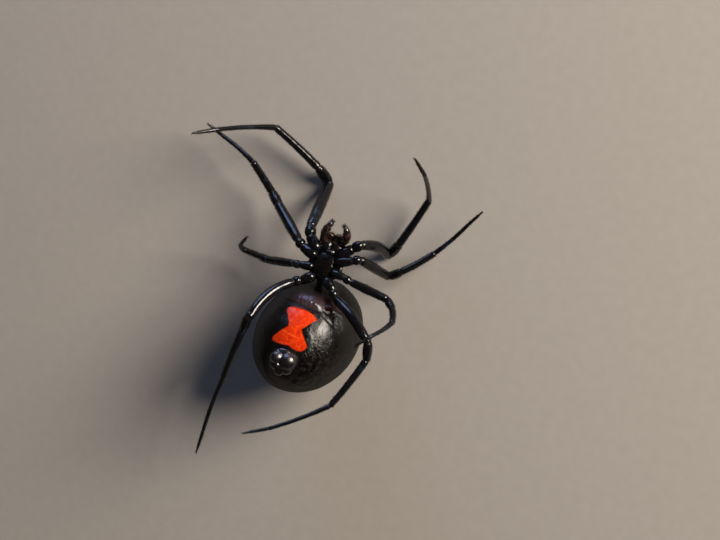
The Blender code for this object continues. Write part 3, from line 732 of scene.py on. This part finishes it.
legs = {
    "hips": {  # sideways, ahead and up of the base, turn from the head, length
        1: ((0.98, 1.18, -0.30), 47, 1.10),
        2: ((1.00, 0.62, -0.25), 70, 1.15),
        3: ((0.95, -0.25, -0.25), 97, 0.85),
        4: ((0.60, -0.95, -0.20), 128, 0.90),
    },
    "lengths": {  # trochanter, femur, patella, tibia, metatarsus, tarsus
        1: (0.8, 5.1, 1.7, 4.55, 5.5, 1.95),
        2: (0.6, 3.9, 1.35, 2.95, 3.6, 1.5),
        3: (0.6, 3.1, 1.15, 1.75, 2.5, 1.35),
        4: (0.6, 4.7, 1.6, 4.35, 4.9, 1.95),
    },
    "pose": {  # turn from the head to the leg's side, and rise, of each length
        "l1": ((50, 1), (134, -72.5), (32, 36), (22, 12), (6, 63), (-30, 49)),
        "r1": ((23, -28), (10, -53), (40, 36), (60, 12), (105, 55), (114, 40)),
        "l2": ((64, -10), (126, -57), (52, 26), (45, -15), (35, 9), (34, 6)),
        "r2": ((52, 0), (57, -31), (53, -27), (39, 27), (70, -15), (57, 36)),
        "l3": ((108, -6), (101, -11), (116, 46), (141, 55), (-140, 57), (-139, 19)),
        "r3": ((100, -12), (104, -31), (93, -34), (66, 53), (-32, 68), (-36, 40)),
        "l4": ((146, 14), (119, 22), (177, -23), (-159, 19), (-126, 16), (-115, 22)),
        "r4": ((108, 18), (148, 41), (163, -28), (168, -13), (170, -10), (175, -3)),
    },
    "shapes": (  # share along and radius, for the hip and each length of the front pair
        ((0.0, 0.40), (0.5, 0.45), (1.0, 0.36)),
        ((0.0, 0.36), (0.5, 0.42), (1.0, 0.36)),
        ((0.0, 0.35), (0.15, 0.39), (0.42, 0.43), (0.8, 0.40), (1.0, 0.37)),
        ((0.0, 0.38), (0.5, 0.40), (1.0, 0.33)),
        ((0.0, 0.31), (0.3, 0.29), (0.85, 0.265), (1.0, 0.25)),
        ((0.0, 0.21), (0.4, 0.17), (1.0, 0.15)),
        ((0.0, 0.145), (0.6, 0.115), (1.0, 0.05)),
    ),
    "bows": (0.0, 0.0, 0.0, 0.0, 0.06, 0.10, 0.0),
    "femurBows": {"l1": 0.30, "l4": 0.40, "r4": 0.40},
    "stoutness": {"l1": 1.0, "l2": 0.88, "l3": 0.78, "l4": 0.90, "r1": 1.08, "r2": 0.98, "r3": 0.78, "r4": 0.92},
    "hub": Vector((0.0, 1.0, 4.5)),
    "tuck": 0.26,  # how far the hip goes in under the sternum's edge
    "stepMm": 0.07,
    "collar": (0.05, 0.13, 0.09),  # rise of each length's end, its place before the joint and its width
    "neck": (0.15, 0.05, 0.075),  # depth, place behind the joint and width
    "membrane": (0.8, 0.05),  # share and width of the soft skin in the neck
    "outerStout": 0.9,  # least stoutness of the two outer lengths
    "roundMm": 0.34,
    "around": 28,
    "dullFoot": 0.35,
    "bristles": (60, 30, 420, 210, 640, 620, 300),  # on each length of a front leg
    "bristleLength": (0.10, 0.22),
    "bristleLift": (14, 38),
    "longBristles": (0.04, 1.7),  # their share, and how much longer they are
    "outerBristles": 0.8,  # their length on the two outer lengths
    "comb": (14, 0.22, 0.9),  # count, length and lift of its bristles
    "claws": (0.16, 0.022, 0.35),  # length, radius and spread
    "clearMm": 0.25,  # no bristles lower than this
}


def legJoints(sideName, pair):
    side = sides[sideName]
    base, turn, length = legs["hips"][pair]
    joints = [inBody(side * base[0], base[1], base[2])]
    joints.append(joints[0] + turned(bodyForward, bodyLeft * side, turn) * length)
    for reach, (swing, rise) in zip(legs["lengths"][pair], legs["pose"][f"{sideName}{pair}"]):
        joints.append(joints[-1] + direction(swing, rise, side) * reach)
    return joints


def collared(radii, distance, joints):
    # each length flares a little at its end, and the next one starts from a narrow neck with soft skin
    rise, before, wide = legs["collar"]
    depth, after, narrow = legs["neck"]
    soft, softWidth = legs["membrane"]
    membrane = np.zeros(len(distance))
    for joint in joints:
        beyond = distance - joint
        radii = radii * (1 + rise * fade(beyond + before, wide)) * (1 - depth * fade(beyond - after, narrow))
        membrane = np.maximum(membrane, soft * fade(beyond - after, softWidth))
    return radii, membrane


def hook(start, onward, inward, length, radius):
    shares = np.linspace(0, 1, 9)
    curve = [start + onward * length * math.sin(s * 1.3) + inward * length * (1 - math.cos(s * 1.5)) for s in shares]
    return sweep(curve, radius * (1 - 0.85 * shares), 10)[:2]


def legBristleRows(at, stout):
    # place along the leg, angle round it, length and lift of each, thick on the outer lengths
    rows = []
    longShare, longer = legs["longBristles"]
    for n, count in enumerate(legs["bristles"]):
        spots = draws.uniform(at[n] + (legs["tuck"] if n == 0 else 0), at[n + 1], int(count * stout))
        angles = draws.uniform(0, fullTurn, len(spots))
        long = np.where(draws.random(len(spots)) < longShare, longer, 1.0)
        lengths = draws.uniform(*legs["bristleLength"], len(spots)) * long * (legs["outerBristles"] if n > 4 else 1.0)
        lifts = np.radians(draws.uniform(*legs["bristleLift"], len(spots)))
        rows.append(np.stack([spots, angles, lengths, lifts], 1))
    return rows


def makeLeg(sideName, pair, order):
    key = f"{sideName}{pair}"
    joints = legJoints(sideName, pair)
    joints[0] = joints[0] - (joints[1] - joints[0]).normalized() * legs["tuck"]
    stout = legs["stoutness"][key]
    bows = list(legs["bows"])
    bows[2] = legs["femurBows"].get(key, 0.0)
    startRadii = [shape[0][1] * stout for shape in legs["shapes"]]
    centres, distance, at = roundedLine(joints, startRadii, bows, legs["hub"], legs["stepMm"])
    radii = np.zeros(len(distance))
    segment = np.clip(np.searchsorted(at, distance, side="right") - 1, 0, len(legs["shapes"]) - 1)
    for n, shape in enumerate(legs["shapes"]):
        chosen = segment == n
        share = (distance[chosen] - at[n]) / (at[n + 1] - at[n])
        radii[chosen] = smoothThrough(shape, share) * (stout if n < 5 else max(stout, legs["outerStout"]))
    radii, membrane = collared(radii, distance, at[1:-1])
    radii = radii * roundedEnd(distance, legs["roundMm"])
    verts, faces, frames = sweep(centres, radii, legs["around"])
    across, beside, tangents = frames
    verts[:, 2] = np.maximum(verts[:, 2], 0.0)
    nodes = [f"leg_{key}_{part}" for part in ("thigh", "shank", "foot")]
    piece = makePiece(f"leg{sideName.upper()}{pair}", verts, faces, legCuticle, nodes[0], nodes)
    membrane = np.maximum(membrane, legs["dullFoot"] * smoothStep(at[-2] - 0.8, at[-1], distance))
    addAttribute(piece, "joint", np.concatenate([np.repeat(membrane, legs["around"]), [0.0, 0.3]]))
    inward = np.array(legs["hub"]) - centres[-1]
    inward = unit(inward - tangents[-1] * (inward @ tangents[-1]))
    sideways = np.cross(tangents[-1], inward)
    clawLength, clawRadius, spread = legs["claws"]
    for lean in (-spread, spread):
        start = centres[-1] + sideways * lean * 0.04
        claws.append(hook(start, unit(tangents[-1] + sideways * lean), inward, clawLength, clawRadius))
    rows = legBristleRows(at, stout)
    if pair == 4:  # the comb of curved bristles under the last length of the hind legs
        count, length, lift = legs["comb"]
        face = math.atan2(inward @ beside[-1], inward @ across[-1])
        combed = np.linspace(at[-2] + 0.2, at[-1] - 0.15, count)
        rows.append(np.stack([combed, *(np.full(count, value) for value in (face, length, lift))], 1))
    spots, angles, lengths, lifts = np.concatenate(rows).T
    roots, spokes, onward = alongTube(spots, angles, distance, centres, radii, frames)
    turns = (order + 0.05 + 0.9 * (angles / fullTurn % 1)) / 8
    maps = np.stack([0.005 + 0.99 * spots / distance[-1], turns], 1)
    clear = roots[:, 2] > legs["clearMm"]
    return [rows[clear] for rows in (roots, spokes, onward, lengths, lifts, maps)]


claws = []
legCoat = joinedCoat([makeLeg(*key, n) for n, key in enumerate((s, p) for s in sides for p in legs["hips"])])
growBristles("legBristles", legCoat, 0.008, darkSeta, "leg_l1_thigh")
makePiece("tarsalClaws", *merge(claws), fangCuticle, "leg_l1_foot")

shield = {
    "profile": (  # place ahead, half width, depth below and above the rim
        (-1.05, 0.42, 0.35, 0.18),
        (-0.90, 0.78, 0.55, 0.22),
        (-0.50, 1.22, 0.78, 0.26),
        (0.10, 1.42, 0.86, 0.28),
        (0.70, 1.30, 0.90, 0.28),
        (1.25, 0.98, 1.00, 0.26),
        (1.75, 0.80, 1.02, 0.22),
        (2.00, 0.62, 0.80, 0.16),
    ),
    "rimDrop": 0.55,
    "squareness": 0.85,
    "dimple": (0.16, 0.16, -0.05, 0.3),  # depth, half width, place ahead and half length
    "grooves": (0.07, 0.10, 0.8, 0.5),
    "sternum": (  # left half of its outline, ahead and sideways from the front
        (1.04, 0.00), (1.03, 0.24), (0.95, 0.44), (0.74, 0.60), (0.50, 0.74), (0.34, 0.66), (0.10, 0.74),
        (-0.10, 0.66), (-0.34, 0.66), (-0.52, 0.52), (-0.76, 0.46), (-0.95, 0.22), (-1.10, 0.00),
    ),
    "sternumCrown": 0.13,
    "sternumWall": ((1.02, 0.20), (1.01, 0.30), (0.95, 0.40)),  # share of the outline, and drop
    "sternumHairs": 200,
    "brushHairs": 130,  # on each endite
    "endite": ((0.42, 1.68, -0.44), 0.50, 0.54, 0.38, 6),  # middle, half width, length and depth, turn inwards
    "labium": ((0.16, 1.18, -0.28), (0.42, 0.28, 0.30)),
    "veer": 0.10,  # how far the mouth parts are swung to the animal's left
    "voxelMm": 0.03,
}


def makeCarapace():
    ahead, halfWidth, below, above = np.array(shield["profile"]).T
    count, around = 60, 72
    deep, dimpleWide, dimpleAt, dimpleLong = shield["dimple"]
    low, grooveWide, grooveAt, grooveLong = shield["grooves"]
    angles = ringAngles(around)
    across = np.copysign(np.abs(np.cos(angles)) ** shield["squareness"], np.cos(angles))
    verts = []
    for at in np.linspace(ahead[0], ahead[-1], count):
        wide, under, over = (np.interp(at, ahead, rows) for rows in (halfWidth, below, above))
        sideways = across * wide
        height = np.sin(angles) * np.where(np.sin(angles) > 0, over, under)
        # the dimple and the grooves beside the head, on the back
        aside = np.abs(sideways) - 0.55 - 0.25 * (1.0 - at)
        marks = deep * fade(sideways, dimpleWide) * fade(at - dimpleAt, dimpleLong)
        marks = marks + low * fade(aside, grooveWide) * fade(at - grooveAt, grooveLong)
        height = height + np.where(np.sin(angles) < 0, marks, 0)
        verts.append([inBody(x, at, z - shield["rimDrop"]) for x, z in zip(sideways, height)])
    grid = np.array(verts)
    for _ in range(2):
        grid[1:-1] = 0.5 * grid[1:-1] + 0.25 * (grid[:-2] + grid[2:])
    rear = inBody(0, ahead[0] - 0.05, -shield["rimDrop"])
    front = inBody(0, ahead[-1] + 0.06, -shield["rimDrop"] - 0.2)
    return np.concatenate([grid.reshape(-1, 3), [rear, front]]), ringFaces(count, around)


def onSternum(angle, reach, height):
    return inBody(math.sin(angle) * reach, math.cos(angle) * reach, height)


def makeSternum():
    half = np.array(shield["sternum"])
    loop = np.concatenate([half, half[-2:0:-1] * (1, -1)])
    around = 96
    angles = np.linspace(-math.pi, math.pi, around, endpoint=False)
    loopAngles = np.arctan2(loop[:, 1], loop[:, 0])
    reach = np.interp(angles, *np.array(sorted(zip(loopAngles, np.hypot(*loop.T)))).T, period=fullTurn)
    for _ in range(2):
        reach = (np.roll(reach, 1) + reach * 2 + np.roll(reach, -1)) / 4
    dished = 0.04 * np.maximum(0, reach - 0.68) / 0.3  # its points, where the hips meet it, bend down
    rows = []
    for share in np.linspace(0.06, 1, 20):
        rim = 0.012 * fade(share - 0.9, 0.06)
        rows.append((share, rim - shield["sternumCrown"] * share**2 - dished * share**4))
    rows += [(share, np.full(around, -drop)) for share, drop in shield["sternumWall"]]
    verts = [onSternum(a, r * share, h) for share, heights in rows for a, r, h in zip(angles, reach, heights)]
    verts += [inBody(0, 0, 0), inBody(0, 0, -shield["sternumWall"][-1][1])]
    return np.array(verts), ringFaces(len(rows), around)


def makeForeBody():
    middle, wide, long, deep, turn = shield["endite"]
    shell = merge([makeCarapace(), makeSternum()])
    makePiece("foreBodyShell", *shell, bodyCuticle, "cephalothorax", ["cephalothorax"])
    parts = [bodyBall(*shield["labium"])]
    for side in sides.values():
        along = turned(bodyForward, bodyLeft * -side, turn)
        across = turned(bodyLeft, bodyForward * side, turn)
        axes = (across * wide, along * long, bodyUp * deep)
        parts.append(ball(inBody(side * middle[0] + shield["veer"], middle[1], middle[2]), axes, 28, 36))
    makePiece("mouthPlates", *blended(*merge(parts), shield["voxelMm"]), mouthCuticle, "cephalothorax")


makeForeBody()

eyes = (  # sideways, ahead and up of one of each pair, and radius
    ((0.17, 1.90, -1.12), 0.13),
    ((0.50, 1.76, -1.08), 0.12),
    ((0.19, 1.58, -1.54), 0.13),
    ((0.56, 1.46, -1.34), 0.12),
)
eyeBeads = [bodyBall((side * a, b, c), (r, r, r), 14, 20) for (a, b, c), r in eyes for side in sides.values()]
makePiece("eyeBeads", *merge(eyeBeads), lensCuticle, "cephalothorax")

jaws = {
    "base": (0.31, 2.20, -0.86),
    "veer": 0.18,
    "length": 1.0,
    "rise": 76.0,
    "shape": ((0.0, 0.27), (0.35, 0.35), (0.75, 0.32), (1.0, 0.24)),
    "fang": ((-0.04, 0.12), (0.15, 0.13), (0.26, 0.03), (0.25, -0.16), (0.16, -0.34)),  # along the jaw, outwards
    "fangRadii": (0.13, 0.12, 0.09, 0.055, 0.012),
    "hairs": (90, (0.12, 0.3), (0.4, 0.9)),  # count on each, length and lift
}


def makeJaws():
    heading = turned(bodyForward, bodyUp, jaws["rise"])
    back = turned(bodyUp, -bodyForward, jaws["rise"])
    shares, distance = np.linspace(0, 1, 40), np.linspace(0, jaws["length"], 40)
    knots, fangShares = np.linspace(0, 1, len(jaws["fang"])), np.linspace(0, 1, 24)
    ahead, outward = (smoothThrough(list(zip(knots, line)), fangShares) for line in zip(*jaws["fang"]))
    radii = smoothThrough(jaws["shape"], shares) * np.sqrt(1 - 0.75 * smoothStep(0.9, 1.0, shares))
    shells, fangs, coats = [], [], []
    for side in sides.values():
        base = inBody(side * jaws["base"][0] + jaws["veer"], jaws["base"][1], jaws["base"][2])
        centres = np.array([base + heading * jaws["length"] * s for s in shares])
        verts, faces, frames = sweep(centres, radii, 28)
        shells.append((verts, faces))
        tip = base + heading * jaws["length"]
        curve = [
            tip + heading * a + bodyLeft * (side * b) + back * 0.10 * t for a, b, t in zip(ahead, outward, fangShares)
        ]
        fangs.append(sweep(curve, np.interp(fangShares, knots, jaws["fangRadii"]), 16)[:2])
        count, lengths, lifts = jaws["hairs"]
        spots = draws.uniform(0.3, 1.0, count) * jaws["length"]
        angles = draws.uniform(0, fullTurn, count)
        maps = np.stack([(side + 1) / 4 + 0.48 * (angles / fullTurn), spots / jaws["length"] * 0.3], 1)
        places = alongTube(spots, angles, distance, centres, radii, frames)
        coats.append((*places, draws.uniform(*lengths, count), draws.uniform(*lifts, count), maps))
    makePiece("jawShells", *merge(shells), maroonCuticle, "jaws", ["jaws"])
    makePiece("fangs", *merge(fangs), fangCuticle, "jaws")
    return joinedCoat(coats)


jawCoat = makeJaws()

palps = {
    "tuck": 0.45,
    "radii": ((0.0, 0.24), (0.25, 0.28), (0.45, 0.31), (0.66, 0.31), (0.82, 0.22), (1.0, 0.12)),
    "joints": {  # sideways, ahead and up, swung a little to the animal's left
        "l": ((0.93, 2.08, -0.15), (1.22, 2.43, 0.20), (1.29, 2.79, 0.62), (1.20, 3.09, 0.86), (0.94, 3.31, 0.90)),
        "r": (
            (-0.66, 1.94, -0.15), (-0.56, 2.23, 0.20), (-0.42, 2.58, 0.62), (-0.20, 2.98, 0.86), (0.04, 3.43, 0.90)
        ),
    },
    "cornerMm": 0.25,
    "stepMm": 0.045,
    "roundMm": 0.2,
    "hairs": (320, (0.10, 0.24), (0.3, 0.8)),  # count on each, length and lift
}


def makePalp(sideName, order):
    joints = [inBody(*joint) for joint in palps["joints"][sideName]]
    joints[0] = joints[0] - (joints[1] - joints[0]).normalized() * palps["tuck"]
    centres, distance, at = roundedLine(joints, [palps["cornerMm"]] * 4, [0.0] * 4, legs["hub"], palps["stepMm"])
    radii, membrane = collared(smoothThrough(palps["radii"], distance / distance[-1]), distance, at[1:-1])
    radii = radii * roundedEnd(distance, palps["roundMm"])
    verts, faces, frames = sweep(centres, radii, 28)
    node = f"palp_{sideName}"
    piece = makePiece(f"palp{sideName.upper()}", verts, faces, maroonCuticle, node, [node])
    addAttribute(piece, "joint", np.concatenate([np.repeat(membrane, 28), [0.0, 0.0]]))
    count, lengths, lifts = palps["hairs"]
    spots = distance[-1] * (1 - 0.75 * draws.random(count) ** 1.4)  # thicker towards the tip
    angles = draws.uniform(0, fullTurn, count)
    turns = 0.32 + (order + 0.05 + 0.9 * angles / fullTurn) / 3
    maps = np.stack([0.01 + 0.98 * spots / distance[-1], turns], 1)
    places = alongTube(spots, angles, distance, centres, radii, frames)
    return (*places, draws.uniform(*lengths, count), draws.uniform(*lifts, count), maps)


palpCoat = joinedCoat([makePalp(sideName, order) for order, sideName in enumerate(sides)])
aside = (palpCoat[0] - np.array(foreBody["sternum"])) @ np.array(bodyLeft)
pale = (palpCoat[1] @ np.array(bodyLeft)) * np.sign(aside) < -0.2  # the hairs that point to the other palp
growBristles("palpBristles", [rows[~pale] for rows in palpCoat], 0.009, darkSeta, "palp_l")
growBristles("palpBrush", [rows[pale] for rows in palpCoat], 0.008, paleSeta, "palp_r")
growBristles("jawBristles", jawCoat, 0.008, paleSeta, "jaws")


def makeForeBodyCoat():
    # sparse hairs over the sternum and a pale brush on the ends of the plates beside the lip
    count = shield["sternumHairs"]
    angles = draws.uniform(0, fullTurn, count)
    reach = np.sqrt(draws.random(count)) * 0.92
    half = np.array(shield["sternum"])
    folded = np.abs(np.arctan2(np.sin(angles), np.cos(angles)))
    limit = np.interp(folded, np.arctan2(half[:, 1], half[:, 0]), np.hypot(*half.T))
    roots = [onSternum(a, r * f, -shield["sternumCrown"] * r**2) for a, r, f in zip(angles, reach, limit)]
    normals = np.tile(bodyUp, (count, 1)) + 0.2 * draws.normal(size=(count, 3))
    lays = np.tile(-bodyForward, (count, 1)) + 0.4 * draws.normal(size=(count, 3))
    maps = np.stack([0.5 + 0.45 * np.sin(angles) * reach, 0.5 + 0.45 * np.cos(angles) * reach], 1)
    lengths, lifts = draws.uniform(0.07, 0.15, count), draws.uniform(0.2, 0.6, count)
    growBristles("sternumBristles", (roots, normals, lays, lengths, lifts, maps), 0.008, darkSeta, "cephalothorax")
    middle, wide, long, deep, _ = shield["endite"]
    roots, normals, maps = [], [], []
    for side in sides.values():
        for _ in range(shield["brushHairs"]):
            aim = draws.normal(size=3)
            aim[1] = abs(aim[1]) + 0.5
            aim[2] = abs(aim[2])
            aim = unit(aim)
            x, y, z = aim * (wide, long, deep)
            roots.append(inBody(side * (middle[0] - 0.1) + x, middle[1] + y, middle[2] + z))
            normals.append(bodyLeft * aim[0] / wide + bodyForward * aim[1] / long + bodyUp * aim[2] / deep)
            maps.append((0.5 + side * 0.25 + aim[0] * 0.2, 0.5 + aim[1] * 0.45))
    count = len(roots)
    lays = np.tile(bodyForward, (count, 1)) + 0.5 * draws.normal(size=(count, 3))
    lengths, lifts = draws.uniform(0.10, 0.24, count), draws.uniform(0.5, 1.2, count)
    lipCoat = (roots, unit(np.array(normals)), lays, lengths, lifts, maps)
    growBristles("lipBrush", lipCoat, 0.008, paleSeta, "cephalothorax")


makeForeBodyCoat()


waist = {"length": 1.1, "radius": 0.31, "rings": (5, 0.005), "set": (0.15, -0.05)}  # set: ahead and up of the rear rim


def makeWaist():
    start = inBody(0.0, shield["profile"][0][0] + waist["set"][0], -shield["rimDrop"] + waist["set"][1])
    toward = ((abdomenMiddle - start).normalized() - headward * 2).normalized()
    shares = np.linspace(0, 1, 36)
    count, height = waist["rings"]
    radii = waist["radius"] + height * np.cos(shares * fullTurn * count)
    centres = [start + toward * waist["length"] * s for s in shares]
    makePiece("waistStalk", *sweep(centres, radii, 28)[:2], bodyCuticle, "waist", ["waist"])


makeWaist()

coat = {
    "count": 5200,
    "length": (0.07, 0.14),
    "liftDegrees": (8, 22),
    "width": 0.006,
    "bare": ((0.1, 2.5), (1.5, 1.1)),  # place and reach of the bare plate
    "tuftLift": (0.7, 1.3),
}


def makeAbdomenCoat():
    aims = unit(draws.normal(size=(coat["count"], 3)))
    points, normals = onAbdomen(aims)
    u, v, depth = bellyMap(points)
    onBelly = depth > -abdomen["bellyDeep"][1]
    keep = (points[:, 2] > 0.4) & ~((bell(u, v, *coat["bare"]) > 0.4) & onBelly)
    aims, points, normals, u, v, onBelly = (rows[keep] for rows in (aims, points, normals, u, v, onBelly))
    rear = -abdomenFrame[0][None] + 0.25 * draws.normal(size=points.shape)
    longitude = np.arctan2(aims[:, 1], aims[:, 2]) / fullTurn + 0.5
    latitude = np.arccos(np.clip(aims[:, 0], -1, 1)) / math.pi
    lengths = draws.uniform(*coat["length"], len(points))
    lifts = np.radians(draws.uniform(*coat["liftDegrees"], len(points)))
    maps = np.stack([0.01 + 0.98 * longitude, 0.01 + 0.98 * latitude], 1)
    marks = ((outlineDistance(u, v, abdomen["hourglass"]) < 0) & onBelly).astype(float)
    hideCoat = (points, normals, rear, lengths, lifts, maps)
    growBristles("abdomenBristles", hideCoat, coat["width"], darkSeta, "abdomen", marks)
    count = len(tuftRoots)
    spin = draws.random(count)
    lengths, lifts = draws.uniform(*coat["length"], count), draws.uniform(*coat["tuftLift"], count)
    across = np.cross(tuftLays, np.array([0.3, 0.5, 0.8]))
    maps = np.stack([0.02 + 0.96 * spin, 0.02 + 0.96 * draws.random(count)], 1)
    tuft = (tuftRoots, tuftLays, across, lengths, lifts, maps)
    growBristles("spinneretBristles", tuft, 0.007, darkSeta, "spinnerets")


makeAbdomenCoat()

# The camera looks down on the belly from 15 cm, a little from behind and from the animal's left.
view = {
    "toward": Vector((-0.2419, -0.1851, 0.9525)).normalized(),
    "up": Vector((0.2837, -0.9522, -0.1131)),
    "distance": 150.0,
    "aside": (4.0, 5.0),
    "lens": 97.5,
}
viewRight = view["up"].cross(view["toward"]).normalized()
viewUp = view["toward"].cross(viewRight)


def makeCamera():
    data = bpy.data.cameras.new("camera")
    data.lens = view["lens"]
    data.sensor_width = 36.0
    data.clip_start = 0.005
    data.clip_end = 20.0
    camera = addObject("camera", data)
    place = abdomenMiddle + viewRight * view["aside"][0] + viewUp * view["aside"][1]
    place = (place + view["toward"] * view["distance"] + home) * mm
    turn = Matrix((viewRight, viewUp, view["toward"])).transposed().to_4x4()
    camera.matrix_world = Matrix.Translation(place) @ turn
    bpy.context.scene.camera = camera


makeCamera()

# Softboxes: direction as seen by the camera (right, up, towards it), distance and size in mm, watts and colour
lights = {
    "keyBox": ((0.64, 0.30, 0.71), 300, 160, 2.35, "#fff4e6"),
    "coolBox": ((-0.22, 0.95, 0.15), 240, 180, 0.5, "#a9c4ff"),
}
air = ("#e9e6e1", 0.06)  # colour and strength of the light from all round


def makeLights():
    centre = (abdomenMiddle + home) * mm
    for name, (aim, distance, size, watts, colour) in lights.items():
        data = bpy.data.lights.new(name, "AREA")
        data.shape = "DISK"
        data.size = size * mm
        data.energy = watts
        data.color = linear(colour)[:3]
        lamp = addObject(name, data)
        toward = (viewRight * aim[0] + viewUp * aim[1] + view["toward"] * aim[2]).normalized()
        lamp.location = centre + toward * distance * mm
        lamp.rotation_euler = toward.to_track_quat("Z", "Y").to_euler()
    world = bpy.data.worlds.new("studioAir")
    world.use_nodes = True
    background = world.node_tree.nodes["Background"]
    background.inputs["Color"].default_value = linear(air[0])
    background.inputs["Strength"].default_value = air[1]
    bpy.context.scene.world = world
    bpy.context.scene.view_settings.view_transform = "Standard"


makeLights()


def makeFloor():
    # matt card: pressed fibre, pale and even, which keeps every reflection of it in the cuticle soft
    stops = ((0.3, "#8d8882"), (0.7, "#908b85"))
    material = mottledMaterial("mattCardFloor", {"Roughness": 0.95, "IOR": 1.3}, 0.8, 2.0, stops)[0]
    builder = bmesh.new()
    bmesh.ops.create_circle(builder, cap_ends=True, segments=64, radius=2.0)
    mesh = bpy.data.meshes.new("floor")
    builder.to_mesh(mesh)
    builder.free()
    mesh.materials.append(material)
    floor = addObject("floor", mesh)


makeFloor()
